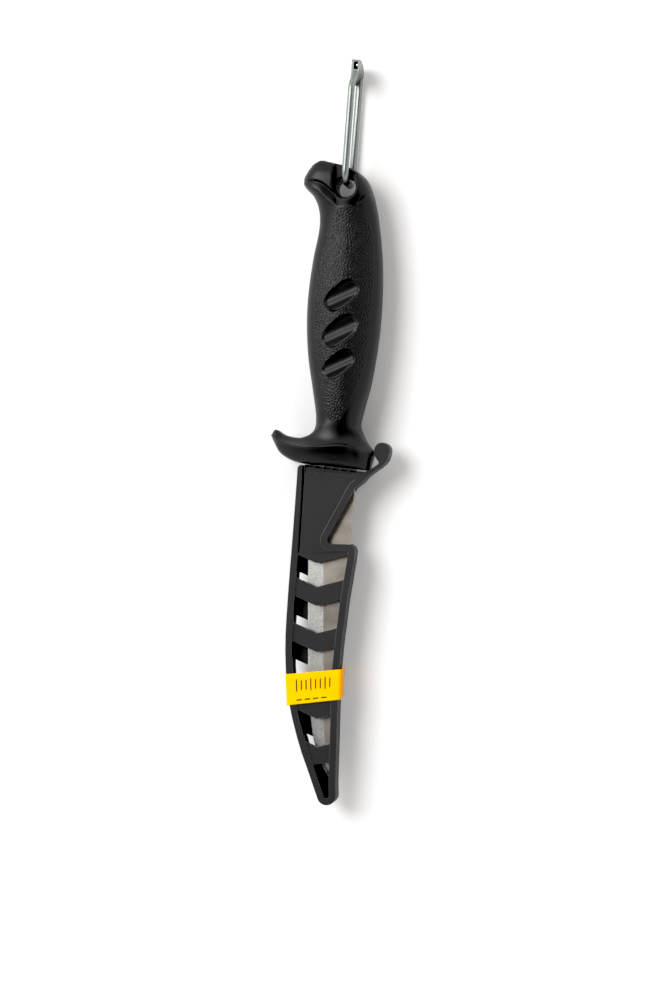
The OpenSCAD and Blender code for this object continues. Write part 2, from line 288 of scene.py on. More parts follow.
def start_material(name, **plain):
    """A material with its plain values on the shader, and the node tree to add to."""
    material = bpy.data.materials.new(name)
    material.use_nodes = True
    tree = material.node_tree
    shader = tree.nodes["Principled BSDF"]
    for label, value in plain.items():
        socket = label.replace("_", " ").title().replace("Ior", "IOR")
        value = (*value, 1) if isinstance(value, tuple) else value
        shader.inputs[socket].default_value = value
    return material, tree, shader


def use_group(tree, group, **values):
    """A node group placed in a material, with this material's own values."""
    node = tree.nodes.new("ShaderNodeGroup")
    node.node_tree = group
    for label, value in values.items():
        node.inputs[label.replace("_", " ").title()].default_value = value
    return node


def add_bump(tree, shader, height, depth, strength):
    """Bump of a real depth in metres."""
    bump = add(tree, "ShaderNodeBump", strength=strength, distance=depth)
    tree.links.new(height, bump.inputs["Height"])
    tree.links.new(bump.outputs["Normal"], shader.inputs["Normal"])


def between(tree, value, low, high, to_low=0.0, to_high=1.0):
    """Maps low..high of a value to another range, and holds it there outside."""
    node = add(tree, "ShaderNodeMapRange")
    set_range(node, low, high, to_low, to_high)
    tree.links.new(value, node.inputs["Value"])
    return node.outputs["Result"]


def named_value(tree, name):
    """A number that is stored on the mesh under this name."""
    return add(tree, "ShaderNodeAttribute", attribute_name=name).outputs["Fac"]


print("materials can be made")

# %% [markdown]
# **Handle.** One black moulding with a satin skin, and a leather grain on the grip. The
# grain's folds are real geometry, and the material adds the finer creases between them.
# A mask that is stored on the mesh says where the grain lies.

# %% Material: black handle


def make_handle_black():
    material, tree, shader = start_material(
        "handle_black", base_color=(0.003, 0.003, 0.0032), roughness=0.3, specular_ior_level=0.33
    )
    grain = named_value(tree, "grain")
    fold = named_value(tree, "fold")
    skin = use_group(tree, mottle, fine_scale=5200.0, cloud_scale=45.0)
    crease = add(tree, "ShaderNodeTexNoise", scale=1900.0, detail=3.0, roughness=0.62)
    spot = add(tree, "ShaderNodeTexCoord").outputs["Object"]
    tree.links.new(spot, crease.inputs["Vector"])
    creased = math_node(tree, "MULTIPLY", crease.outputs["Fac"], grain)
    fine = math_node(tree, "MULTIPLY", skin.outputs["Height"], 0.12)
    height = math_node(tree, "ADD", creased, fine)
    add_bump(tree, shader, height, depth=0.00016, strength=0.85)
    smooth = between(tree, skin.outputs["Cloud"], *NOISE, 0.34, 0.41)
    worn = between(tree, fold, 0.2, 0.9, 0.5, 0.27)  # the tops of the folds are polished
    rough = add(tree, "ShaderNodeMix", data_type="FLOAT")
    for label, source in (("Factor", grain), ("A", smooth), ("B", worn)):
        tree.links.new(source, rough.inputs[label])
    tree.links.new(rough.outputs["Result"], shader.inputs["Roughness"])
    # Painted light and shade on the grain: the tops of the folds are painted lighter and the
    # creases darker.
    shade = math_node(tree, "MULTIPLY", grain, between(tree, fold, 0.0, 1.0, 0.25, 1.0))
    colour = colour_mix(tree, shade, (0.0025, 0.0025, 0.0027), (0.0055, 0.0055, 0.0057))
    tree.links.new(colour, shader.inputs["Base Color"])
    return material


handle_black = make_handle_black()
print("material:", handle_black.name)

# %% [markdown]
# ** Sheath.** A fine matt grey moulding. Its edges are smoother, and painted paler as a
# highlight along every rounded edge; that is a second material.

# %% Materials: grey sheath, and the painted highlight on its edges


def make_sheath_grey(name, dark, light, roughness):
    material, tree, shader = start_material(
        name, base_color=dark, roughness=roughness, specular_ior_level=0.38
    )
    skin = use_group(tree, mottle, fine_scale=3600.0, cloud_scale=55.0)
    add_bump(tree, shader, skin.outputs["Height"], depth=0.00008, strength=0.55)
    tone = between(tree, skin.outputs["Cloud"], *NOISE)
    tree.links.new(colour_mix(tree, tone, dark, light), shader.inputs["Base Color"])
    rough = between(tree, skin.outputs["Height"], *NOISE, roughness - 0.05, roughness + 0.07)
    tree.links.new(rough, shader.inputs["Roughness"])
    return material


sheath_grey = make_sheath_grey(
    "sheath_grey", (0.0105, 0.0107, 0.011), (0.0145, 0.0145, 0.0148), roughness=0.52
)
# The edge material's paler colour is a painted highlight on the rounds; its lower roughness is
# real.
sheath_edge_highlight = make_sheath_grey(
    "sheath_edge_highlight", (0.03, 0.03, 0.031), (0.045, 0.045, 0.046), roughness=0.36
)
print("materials:", sheath_grey.name, sheath_edge_highlight.name)

# %% [markdown]
# **Blade.** Stainless steel, ground twice: the bevel beside the edge is bright and finely
# speckled, and the flat above it is a warmer satin. A mask on the faces tells them apart.

# %% Material: blade steel


def make_blade_steel():
    material, tree, shader = start_material("blade_steel_ground", metallic=1.0, roughness=0.3)
    bevel = named_value(tree, "bevel")
    speckle = use_group(tree, streaks, speckle_scale=2600.0).outputs["Speckle"]
    cloud = use_group(tree, mottle, cloud_scale=110.0).outputs["Cloud"]
    warm = between(tree, cloud, *NOISE)
    flat = colour_mix(tree, warm, (0.38, 0.345, 0.3), (0.58, 0.53, 0.475))
    sparkle = between(tree, speckle, 0.35, 0.65)
    bright = colour_mix(tree, sparkle, (0.25, 0.25, 0.24), (0.42, 0.42, 0.4))
    tree.links.new(colour_mix(tree, bevel, flat, bright), shader.inputs["Base Color"])
    rough = add(tree, "ShaderNodeMix", data_type="FLOAT")
    rough.inputs["A"].default_value = 0.34
    tree.links.new(bevel, rough.inputs["Factor"])
    tree.links.new(between(tree, speckle, *NOISE, 0.28, 0.5), rough.inputs["B"])
    tree.links.new(rough.outputs["Result"], shader.inputs["Roughness"])
    add_bump(tree, shader, speckle, depth=0.000008, strength=0.5)
    return material


blade_steel = make_blade_steel()
print("material:", blade_steel.name)

# %% [markdown]
# **Link.** Zinc-plated wire is pale, slightly green and softly bright. The pins are
# brighter plating, and the hidden spring is plain oiled steel.

# %% Materials: plated wire, pins and spring


def make_plated(name, dark, light, roughness, speckle_scale, depth):
    material, tree, shader = start_material(name, metallic=1.0, roughness=roughness)
    worked = use_group(tree, streaks, scale=700.0, stretch=0.1, speckle_scale=speckle_scale)
    mixed = math_node(tree, "ADD", worked.outputs["Streak"], worked.outputs["Speckle"])
    tone = between(tree, mixed, 0.75, 1.25)
    tree.links.new(colour_mix(tree, tone, dark, light), shader.inputs["Base Color"])
    rough = between(tree, worked.outputs["Speckle"], *NOISE, roughness - 0.05, roughness + 0.08)
    tree.links.new(rough, shader.inputs["Roughness"])
    add_bump(tree, shader, mixed, depth, strength=0.4)
    return material


plated_wire = make_plated(
    "plated_wire", (0.19, 0.21, 0.195), (0.28, 0.305, 0.285),
    roughness=0.4, speckle_scale=1500.0, depth=0.000003,
)
bright_plate = make_plated(
    "bright_plate", (0.7, 0.7, 0.68), (0.86, 0.86, 0.84),
    roughness=0.16, speckle_scale=2500.0, depth=0.000002,
)
oiled_steel = make_plated(
    "oiled_steel", (0.25, 0.24, 0.23), (0.4, 0.39, 0.38),
    roughness=0.3, speckle_scale=2500.0, depth=0.000002,
)
print("materials:", plated_wire.name, bright_plate.name, oiled_steel.name)

# %% [markdown]
# **Label.** Coated yellow paper with plain dark strokes in place of print. The strokes are
# drawn from two numbers on the mesh: how far along and how far up the paper a point is.

# %% Material: yellow label
STROKES = [(0.20 + 0.085 * i, 0.60, 0.011, 0.16 if i % 3 else 0.20) for i in range(8)]
DASHES = [(0.24 + 0.15 * i, 0.13, 0.05, 0.022) for i in range(4)]
MARKS = STROKES + DASHES  # along, up, half length, half height, as shares of the label
INK_BLUR = 0.15  # how far a mark's edge fades, as a share of its half size


def make_label_yellow():
    material, tree, shader = start_material(
        "label_yellow", base_color=(1.0, 0.52, 0.0), roughness=0.45, specular_ior_level=0.1
    )
    along, upward = named_value(tree, "along"), named_value(tree, "upward")
    cloud = use_group(tree, mottle, cloud_scale=120.0).outputs["Cloud"]
    ink = None
    for at_along, at_up, half_l, half_h in MARKS:
        apart = [
            math_node(tree, "ABSOLUTE", math_node(tree, "SUBTRACT", value, at))
            for value, at in ((along, at_along), (upward, at_up))
        ]
        inside = [
            between(tree, value, half * (1 + INK_BLUR), half * (1 - INK_BLUR))
            for value, half in zip(apart, (half_l, half_h))
        ]
        mark = math_node(tree, "MULTIPLY", *inside)
        ink = mark if ink is None else math_node(tree, "MAXIMUM", ink, mark)
    tone = between(tree, cloud, *NOISE)
    sheet = colour_mix(tree, tone, (0.96, 0.49, 0.0), (1.0, 0.57, 0.002))
    # Painted shade: the paper is painted darker orange where it turns down the right side, away
    # from the lamp.
    right_fold_painted_shade = colour_mix(tree, between(tree, along, 0.93, 1.03), sheet, (0.72, 0.28, 0.0))
    printed = colour_mix(tree, ink, right_fold_painted_shade, (0.05, 0.035, 0.02))
    tree.links.new(printed, shader.inputs["Base Color"])
    add_bump(tree, shader, cloud, depth=0.0002, strength=0.5)
    return material


label_yellow = make_label_yellow()
print("material:", label_yellow.name)

# %% [markdown]
# **Floor.** The ground is plain and white, and the view never reaches its end. One large
# square does for it, a hair below the knife, so that the two never share a plane. A slow
# cloudiness keeps it from being one flat colour.

# %% Material and mesh: floor
FLOOR_REACH, FLOOR_LEVEL = 4.0, -0.0002
FLOOR_CORNERS = ((-1, -1), (1, -1), (1, 1), (-1, 1))


def make_floor():
    material, tree, shader = start_material(
        "white_floor", base_color=(0.9, 0.9, 0.9), roughness=0.9
    )
    cloud = use_group(tree, mottle, cloud_scale=5.0).outputs["Cloud"]
    white = colour_mix(tree, cloud, (0.9, 0.9, 0.9), (0.92, 0.915, 0.91))
    tree.links.new(white, shader.inputs["Base Color"])
    mesh = bpy.data.meshes.new("floor")
    corners = [(x * FLOOR_REACH, y * FLOOR_REACH, FLOOR_LEVEL) for x, y in FLOOR_CORNERS]
    mesh.from_pydata(corners, [], [(0, 1, 2, 3)])
    mesh.materials.append(material)
    floor = bpy.data.objects.new("floor", mesh)
    bpy.context.scene.collection.objects.link(floor)
    return floor


floor = make_floor()
print("floor made")

# %% [markdown]
# ## Shape helpers
# The handle flows from one form into the next, which no stack of primitives gives. So it
# is described as a distance field: for any point in space, how far it is from the skin.
# Fields join and cut with soft corners, and one mesher turns the sum into a surface.

# %% Smooth curves, soft joins


def curve(pairs, at):
    """A smooth curve through (place, value) pairs, read at many places at once."""
    xs, ys = np.array(pairs, float).T
    slope = np.empty_like(ys)
    slope[1:-1] = (ys[2:] - ys[:-2]) / (xs[2:] - xs[:-2])
    slope[0] = (ys[1] - ys[0]) / (xs[1] - xs[0])
    slope[-1] = (ys[-1] - ys[-2]) / (xs[-1] - xs[-2])
    i = np.clip(np.searchsorted(xs, at, side="right") - 1, 0, len(xs) - 2)
    w = xs[i + 1] - xs[i]
    u = np.clip((at - xs[i]) / w, 0, 1)
    return (
        (2 * u**3 - 3 * u**2 + 1) * ys[i] + (u**3 - 2 * u**2 + u) * slope[i] * w
        + (3 * u**2 - 2 * u**3) * ys[i + 1] + (u**3 - u**2) * slope[i + 1] * w
    )


def soft_min(a, b, k):
    """The lesser of two distances, blended where they differ by less than k."""
    h = np.maximum(k - np.abs(a - b), 0) / k
    return np.minimum(a, b) - h * h * k / 4


def soft_max(a, b, k):
    return -soft_min(-a, -b, k)


def step01(t):
    """A smooth step: 0 up to 0, 1 from 1 on."""
    t = np.clip(t, 0, 1)
    return t * t * (3 - 2 * t)


def outline_distance(points, x, y):
    """Signed distance from (x, y) to a closed outline: negative inside."""
    p = np.array(points, float)
    q = np.roll(p, -1, axis=0)
    best = np.full(x.shape, 1e9)
    inside = np.zeros(x.shape, bool)
    for (ax, ay), (bx, by) in zip(p, q):
        dx, dy = bx - ax, by - ay
        t = np.clip(((x - ax) * dx + (y - ay) * dy) / (dx * dx + dy * dy + 1e-12), 0, 1)
        best = np.minimum(best, np.hypot(x - ax - t * dx, y - ay - t * dy))
        if ay != by:
            crosses = ((ay > y) != (by > y)) & (x < (bx - ax) * (y - ay) / (by - ay) + ax)
            inside ^= crosses
    return np.where(inside, -best, best)


print("curve at 0.5:", curve([(0, 0), (1, 1)], np.array([0.5])))

# %% The mesher: a surface net


def sample(grid, at):
    """Reads a 3-D grid between its points. at is in grid steps."""
    low = np.clip(np.floor(at).astype(int), 0, np.array(grid.shape) - 2)
    f = at - low
    total = 0
    for corner in np.ndindex(2, 2, 2):
        share = np.prod(np.where(np.array(corner, bool), f, 1 - f), axis=1)
        i, j, k = (low + corner).T
        total = total + share * grid[i, j, k]
    return total


def surface_net(field, start, step, rounds=4):
    """Points and quads of the skin where a field is 0, each point pulled onto the skin."""
    inside = field < 0
    nx, ny, nz = (size - 1 for size in field.shape)
    count = sum(
        inside[a:a + nx, b:b + ny, c:c + nz].astype(np.int8) for a, b, c in np.ndindex(2, 2, 2)
    )
    cells = np.argwhere((count > 0) & (count < 8))
    number = np.full(count.shape, -1)
    number[tuple(cells.T)] = np.arange(len(cells))
    quads = []
    for axis in range(3):
        one, two = [a for a in range(3) if a != axis]
        low = np.take(inside, range(field.shape[axis] - 1), axis)
        high = np.take(inside, range(1, field.shape[axis]), axis)
        for at, flip in ((np.argwhere(low & ~high), False), (np.argwhere(~low & high), True)):
            corners = []
            for d1, d2 in ((0, 0), (1, 0), (1, 1), (0, 1)):
                c = at.copy()
                c[:, one] -= d1
                c[:, two] -= d2
                corners.append(number[tuple(c.T)])
            if flip != (axis == 1):
                corners.reverse()
            quads.append(np.stack(corners, axis=1))
    at = cells + 0.5
    slopes = np.gradient(field)
    for _ in range(rounds):
        value = sample(field, at)
        slope = np.stack([sample(s, at) for s in slopes], axis=1)
        move = -(value / np.maximum((slope**2).sum(1), 1e-9))[:, None] * slope
        far = np.linalg.norm(move, axis=1, keepdims=True)
        at = at + move * np.minimum(1, 0.5 / np.maximum(far, 1e-9))
    return at * step + np.array(start), np.concatenate(quads)


def make_piece(name, points, faces, material, smooth=True):
    """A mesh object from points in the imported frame's metres."""
    mesh = bpy.data.meshes.new(name)
    mesh.from_pydata(np.asarray(points).tolist(), [], [list(map(int, face)) for face in faces])
    mesh.polygons.foreach_set("use_smooth", [smooth] * len(mesh.polygons))
    mesh.materials.append(material)
    mesh.update()
    piece = bpy.data.objects.new(name, mesh)
    bpy.context.scene.collection.objects.link(piece)
    return piece


def store(piece, name, values, domain="POINT"):
    """Keeps a number for each point or face on the mesh, for the materials to read."""
    piece.data.attributes.new(name, "FLOAT", domain).data.foreach_set(
        "value", np.asarray(values, np.float32)
    )


print("mesher ready")

# %% [markdown]
# ## Handle
# The grip is an oval whose left side, right side and thickness are three curves up the
# knife. It has a soft ridge down the middle. The guard is a plate with a sharp crest. At
# the pommel two swooping channels cut under a raised face.

# %% Handle: the grip's curves
HANDLE_TOP = 126.6
FLAT_TOP = 12.0  # half of the handle's thickness at its thickest
BELLY = 11.82  # the grip's half thickness, which leaves room for the grain on top of it
GRIP_LEFT = [
    (3, -9.9), (12, -9.6), (20, -9.5), (30, -11.1), (45, -13.6), (60, -14.6),
    (72, -14.2), (86, -12.6), (97, -10.6), (103, -10.3), (108, -11.2), (112, -13.2), (115.4, -16.5),
    (117.6, -17.6), (120.5, -16.8), (124.5, -14.2), (HANDLE_TOP, -11.5),
]
GRIP_RIGHT = [
    (3, 9.8), (10, 9.6), (16, 9.5), (23, 10.9), (33, 13.4), (48, 15.7), (62, 16.9),
    (78, 17.1), (90, 16.3), (104, 14.4), (112, 12.5), (117, 10.6), (120.5, 8), (123.8, 2.8),
    (HANDLE_TOP, -6.8),
]
GRIP_HALF = [
    (3, 7.5), (8, 8.3), (12, 9.0), (18, 9.6), (36, 11), (60, 12), (80, 11.2), (100, 9.6),
    (112, 10), (121, 9.8), (HANDLE_TOP, 7.4),
]
RIDGE_AT = [(3, 1), (30, 2), (60, 1.5), (90, 2.5), (110, 2), (HANDLE_TOP, 0)]
STEP = 0.28  # the field's grid, in mm
xs = np.arange(-30, 18.6, STEP)
ys = np.arange(-3.2, 128.2, STEP)
zs = np.arange(-12.9, 12.91, STEP)
X, Y = np.meshgrid(xs, ys, indexing="ij")
Z = zs[None, None, :]
print("field of", len(xs), len(ys), len(zs), "points")

# %% [markdown]
# Two swooping channels run round the hole and set the pommel's face apart from the grip.
# Each drops steeply below one line and rises slowly to a second, so two curves and one
# depth describe it, and it fades out where the two lines meet.

# %% Handle: swooping channels at the pommel
LEFT_STEP = [
    (-19, 119), (-15, 118.6), (-9.3, 117.8), (-4.1, 113.9), (-1.25, 108.3), (-0.8, 106.9),
]
LEFT_RIDGE = [
    (-19, 117.2), (-15, 115.8), (-9.5, 113.4), (-5.7, 109.8), (-1.7, 107.1), (-0.8, 106.9),
]
RIGHT_STEP = [(6.2, 107.6), (6.5, 108.5), (8.7, 111.9), (11, 113.6), (15, 115)]
RIGHT_RIDGE = [(6.2, 107.6), (7.8, 108.1), (9.8, 110.9), (12.7, 112.4), (15, 113)]
DROP = 0.22  # the steep side's share of a channel's width
FULL_WIDTH, END_FADE = 3.2, 0.6  # a narrower channel is shallower, and its ends fade


def channel(x, y, upper, lower, deepest):
    """Depth of a channel that drops steeply below its upper line and rises to its lower."""
    top, low = curve(upper, x), curve(lower, x)
    width = np.maximum(top - low, 1e-3)
    down = np.clip((top - y) / width, 0, 1)
    depth = np.minimum(down / DROP, (1 - down) / (1 - DROP))
    held = step01((x - upper[0][0]) / END_FADE) * step01((upper[-1][0] - x) / END_FADE)
    return deepest * np.clip(depth, 0, 1) * np.minimum(1, width / FULL_WIDTH) * held


swoops = channel(X, Y, LEFT_STEP, LEFT_RIDGE, 1.5) + channel(X, Y, RIGHT_STEP, RIGHT_RIDGE, 1.3)
print("deepest channel:", round(float(swoops.max()), 2), "mm")

# %% [markdown]
# Three slanted recesses give the fingers a hold, each with a low rib across its floor. The
# floor has its own height, apart from the grip's roof, because a floor that followed the
# roof would tilt to one side and catch the light there.

# %% Handle: finger recesses
RECESSES = [(1.3, 69.9, 1.0, 11.6), (1.05, 55.1, 1.04, 11.8), (0.75, 41.2, 0.94, 11.3)]
# In RECESSES: the centre's x and y, the size as a share, and the height of the crown there
RECESS_TURN, RIB_TURN = math.radians(41), math.radians(25)
RECESS_LONG, RECESS_WIDE, RECESS_WALL, BLUNT = 8.3, 4.6, 0.6, 2.7
# The floor's depth under the crown, from the upper left across the rib to the lower right
RECESS_FLOOR = [
    (-6, 1.7), (-3.4, 1.95), (-1.0, 2.2), (0, 2.05), (0.9, 1.7), (1.7, 1.52), (3.4, 1.62),
    (6, 1.7),
]


def recess_shape(x, y):
    """How far a point lies in a recess, from 0 to 1, and the height of the recess's floor."""
    share, floor = np.zeros_like(x), np.full_like(x, FLAT_TOP)
    for cx, cy, size, crown in RECESSES:
        dx, dy = (x - cx) / size, (y - cy) / size
        along = dx * math.cos(RECESS_TURN) + dy * math.sin(RECESS_TURN)
        across = dy * math.cos(RECESS_TURN) - dx * math.sin(RECESS_TURN)
        long, wide = np.abs(along / RECESS_LONG), np.abs(across / RECESS_WIDE)
        edge = (long**BLUNT + wide**BLUNT) ** (1 / BLUNT)
        from_rib = dx * math.sin(RIB_TURN) - dy * math.cos(RIB_TURN)
        inside = np.clip((1 - edge) * RECESS_WIDE / RECESS_WALL, 0, 1)
        floor = np.where(inside > share, crown - curve(RECESS_FLOOR, from_rib), floor)
        share = np.maximum(share, inside)
    return share, floor


recess_share, recess_floor = recess_shape(X, Y)
print("recesses cover", int((recess_share > 0.5).sum()), "columns of the field")

# %% [markdown]
# The grip's section is an oval a little squarer than an ellipse, and squarer still at the
# pommel. Dividing the oval's level by its own slope turns it into a true distance, which
# is what the soft joins need.

# %% Handle: the grip's field
OVAL_WIDE, OVAL_TALL, OVAL_LEVEL = 2.33, 2.22, 2.28  # exponents; 2 would be an ellipse
POMMEL_SQUARE = 1.7  # added to the first of them at the pommel
ROOF_FALL = 0.13  # how far the sides lie below the ridge, as a share of the thickness
RIDGE_SOFT = 0.063  # half width of the ridge's round top, as a share of the grip's


def grip_field():
    left, right = curve(GRIP_LEFT, Y), curve(GRIP_RIGHT, Y)
    half = np.minimum(BELLY, curve(GRIP_HALF, Y))
    middle, reach = (left + right) / 2, (right - left) / 2
    off = np.clip((X - curve(RIDGE_AT, Y)) / reach, -1.2, 1.2)
    ridged = step01((Y - 20) / 14) * (1 - 0.6 * step01((Y - 102) / 8))
    roof = 1 - ROOF_FALL * ridged * (np.sqrt(off**2 + 0.004) - RIDGE_SOFT)
    u = np.abs(X - middle) / reach
    square = OVAL_WIDE + POMMEL_SQUARE * step01((Y - 107) / 6)
    surface = half * roof * np.maximum(1 - u**square, 0) ** (1 / OVAL_TALL)
    sunk = swoops + recess_share * np.maximum(surface - recess_floor, 0)
    v = (np.abs(Z) + sunk[:, :, None]) / (half * roof)[:, :, None]
    level = ((u**square)[:, :, None] + v**OVAL_TALL) ** (1 / OVAL_LEVEL) - 1
    slopes = np.gradient(level, STEP)
    distance = level / np.maximum(np.sqrt(sum(s * s for s in slopes)), 0.02)
    distance = soft_max(distance, (Y - HANDLE_TOP)[:, :, None], 1.8)
    return soft_max(distance, (3.0 - Y)[:, :, None], 1.0)


grip = grip_field()
print("grip's field made")

# %% [markdown]
# The guard is a plate with a horn on one side. Its face rises to a crest that ends in a
# fine bead, and falls away above and below it. Four curves along the plate give its lower
# line, crest, upper line and half thickness.

# %% Handle: the guard's field
GUARD_LOW = [(-28.2, 10.4), (-26.5, 7.6), (-24.4, 4.4), (-20.8, 1.9), (-16, 0.1), (-7, -0.8),
             (3, -1.6), (11, -2.3), (13.6, -1.9), (15.4, 4)]
GUARD_CREST = [(-28.2, 11.4), (-26.5, 10.9), (-24.4, 9), (-19, 7.5), (-10, 6.6), (4, 7.4), (9, 5.9),
               (13, 4.8), (15.4, 5)]
GUARD_TOP = [(-28.2, 12.2), (-27, 13.7), (-25.4, 13.5), (-22.4, 11.6), (-16, 10.5), (-12, 11.4),
             (0, 14), (9, 12.4), (11.4, 9.8), (15.4, 5.8)]
GUARD_HALF = [(-28.2, 2.4), (-27, 4.6), (-24.4, 7), (-19, 9.8), (-12, 11.6), (-6, 12), (6, 12),
              (11, 11), (15.4, 6.5)]
BEAD_R, BEAD_IN = 0.46, 0.36  # the crest's bead, and how far its middle lies in the plate


def guard_field():
    span = np.linspace(-28.2, 15.4, 60)
    outline = [*zip(span, curve(GUARD_LOW, span)), *zip(span[::-1], curve(GUARD_TOP, span[::-1]))]
    flat = outline_distance(outline, X, Y)
    low, crest, top = (curve(c, X) for c in (GUARD_LOW, GUARD_CREST, GUARD_TOP))
    half = np.minimum(BELLY + 0.1, curve(GUARD_HALF, X))
    under = np.clip((crest - Y) / np.maximum(crest - low, 0.5), 0, 1.3)
    over = np.clip((Y - crest) / np.maximum(top - crest, 0.5), 0, 1.3)
    share = 1 - 0.15 * under - 0.19 * under**3 - 0.75 * over + 0.28 * over**2
    skin = (np.abs(Z) - (half * share)[:, :, None]) * 0.88
    plate = soft_max(skin, flat[:, :, None], 1.4)
    bead = np.hypot((Y - crest)[:, :, None], np.abs(Z) - (half - BEAD_IN)[:, :, None]) - BEAD_R
    return soft_min(plate, soft_max(bead, flat[:, :, None], 0.4), 0.5)


guard = guard_field()
print("guard's field made")

# %% [markdown]
# The guard and the grip are one moulding, so they meet in a broad soft corner. Then the
# lanyard hole goes through the pommel, and a groove on each face leads the wire of the
# link from the hole to the end of the handle.

# %% Handle: join, hole and grooves
NECK_BLEND = 5.0
GROOVE_HALF, WEB_HALF, HOLE_R = 5.0, 6.0, 4.2
DIMPLE, DIMPLE_DEEP = (5.2, 12.2), 0.35  # a shallow hollow in the neck
DOT, DOT_R, DOT_DEEP = (0.05, 2.2), 0.6, 0.12  # a mould mark under the crest


def handle_field():
    whole = soft_max(soft_min(grip, guard, NECK_BLEND), np.abs(Z) - 11.95, 0.2)
    hollow = DIMPLE_DEEP * np.exp(-((X - DIMPLE[0]) ** 2 / 12 + (Y - DIMPLE[1]) ** 2 / 9))
    hollow += DOT_DEEP * step01((DOT_R - np.hypot(X - DOT[0], Y - DOT[1])) / 0.4)
    whole = whole + hollow[:, :, None] * step01((Z - 4) / 2)  # on the front only
    from_hole = np.hypot(X - HOLE[0], Y - HOLE[1])
    groove = np.where(Y > HOLE[1], np.abs(X - HOLE[0]), from_hole) - GROOVE_HALF
    cut = soft_max(groove[:, :, None], WEB_HALF - np.abs(Z), 0.8)
    whole = soft_max(whole, -cut, 0.9)
    return soft_max(whole, (HOLE_R - from_hole)[:, :, None], 0.5)


handle_points, handle_quads = surface_net(
    handle_field().astype(np.float32), (xs[0], ys[0], zs[0]), STEP
)
print("handle:", len(handle_points), "points,", len(handle_quads), "quads")

# %% [markdown]
# The grain is like pressed leather: winding folds of one width, about 1.4 mm apart, in no
# order. Random noise that keeps only waves near that length gives just such folds.

# %% Handle: leather grain
GRAIN_EDGE = [
    (2.4, 108), (-1.9, 106.6), (-5.4, 99.4), (-6.4, 96), (-9.5, 82), (-11.3, 69), (-10.2, 50),
    (-7, 30.9), (-5.5, 23), (-3.3, 18.8), (-0.1, 16.8), (3, 18.2), (5.6, 24.2), (8.4, 31.3),
    (10.9, 36.6), (13.2, 50), (14.6, 69.3), (14.5, 82), (13.9, 93.2), (13.2, 96.6), (10.6, 103.2),
    (7.4, 107.7),
]
FOLD_LENGTH, FOLD_SPREAD = 1.15, 0.32  # the folds' length in mm, and how much it varies
GRAIN_DEPTH = 0.11
FOLD_STEP, FOLD_CORNER = 0.14, (-40, -10)  # the map's grid and its first corner, in mm
FRONT_SEED, BACK_SEED = 11, 12


def fold_map(seed):
    """A square map of winding folds, from 0 in the creases to 1 on the tops."""
    rng = np.random.default_rng(seed)
    size = 1024
    wave = np.fft.fftfreq(size, FOLD_STEP)
    length = np.hypot(wave[:, None], wave[None, :])
    keep = np.exp(-(((length * FOLD_LENGTH - 1) / FOLD_SPREAD) ** 2))
    noise = np.fft.ifft2(np.fft.fft2(rng.standard_normal((size, size))) * keep).real
    return np.tanh(1.3 * noise / noise.std()) * 0.5 + 0.5


def read_map(folds, x, y):
    """Reads the map between its points."""
    at = np.stack([(x - FOLD_CORNER[0]) / FOLD_STEP, (y - FOLD_CORNER[1]) / FOLD_STEP], axis=1)
    low = np.floor(at).astype(int)
    f, g = (at - low).T
    i, j = low.T
    return (
        folds[i, j] * (1 - f) * (1 - g) + folds[i + 1, j] * f * (1 - g)
        + folds[i, j + 1] * (1 - f) * g + folds[i + 1, j + 1] * f * g
    )


def quad_normals(points, quads):
    """The direction that the skin faces at each point."""
    a, b, c, d = (points[corner] for corner in quads.T)
    across = np.cross(c - a, d - b)
    total = np.zeros_like(points)
    for corner in quads.T:
        np.add.at(total, corner, across)
    return total / np.maximum(np.linalg.norm(total, axis=1, keepdims=True), 1e-9)


def grain_handle(points, quads):
    """Lifts the folds off the grip. Returns the points, the grain's mask and the folds."""
    x, y, z = points.T
    edge = step01(-outline_distance(GRAIN_EDGE, x, y) / 0.7)
    clear = step01((0.25 - recess_shape(x, y)[0]) / 0.25)
    mask = edge * clear * step01((np.abs(z) - 3) / 2)
    front, back = (read_map(fold_map(seed), x, y) for seed in (FRONT_SEED, BACK_SEED))
    fold = np.where(z > 0, front, back)
    lift = mask * GRAIN_DEPTH * (fold - 0.5) * 2
    lifted = points + quad_normals(points, quads) * lift[:, None]
    lifted[:, 2] = np.clip(lifted[:, 2], -FLAT_TOP, FLAT_TOP)
    return lifted, mask, fold


grained, grain_mask, fold_height = grain_handle(handle_points, handle_quads)
handle = make_piece("moulded_handle", place_all(grained), handle_quads, handle_black)
store(handle, "grain", grain_mask)
store(handle, "fold", fold_height)
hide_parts("handle")
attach(handle, "knife")
print("grained points:", int((grain_mask > 0.5).sum()))

# %% [markdown]
# ## Blade
# The blade is a long leaf: flat from the spine to the grind line, then ground down to the
# edge. A row of six-cornered sections, skinned together, keeps both lines crisp.

# %% Blade
BLADE_LEN, BLADE_HALF = 132.8, 1.0
LIP = 0.06  # half the thickness left at the edge itself
EDGE_STRIP, STRIP_RISE = 0.75, 0.16  # the last fine bevel beside the edge: width, rise
SPINE_CUT, SPINE_HALF = 0.12, 0.88  # the spine's corners are broken by this much
GROUND = (2, 3, 4, 5, 6)  # which strips round a section the grinding made
EDGE_X = [(-132.8, 1.3), (-131, -0.1), (-126.2, -3.2), (-117, -6.4), (-106, -8.3), (-98, -9.4),
          (-74, -10.3), (-40, -11.2), (3, -11.6)]
SPINE_X = [(-132.8, 1.7), (-110, 1.7), (-88, 2.1), (-74, 2.9), (-58, 4.3), (-46, 5.2), (-31, 6.6),
           (-10, 7.9), (3, 8)]
GRIND_X = [(-132.8, 1.5), (-126, 0), (-117, -1.6), (-106, -2.8), (-82, -3.4), (-40, -4.6), (-8, -5),
           (3, -5.2)]


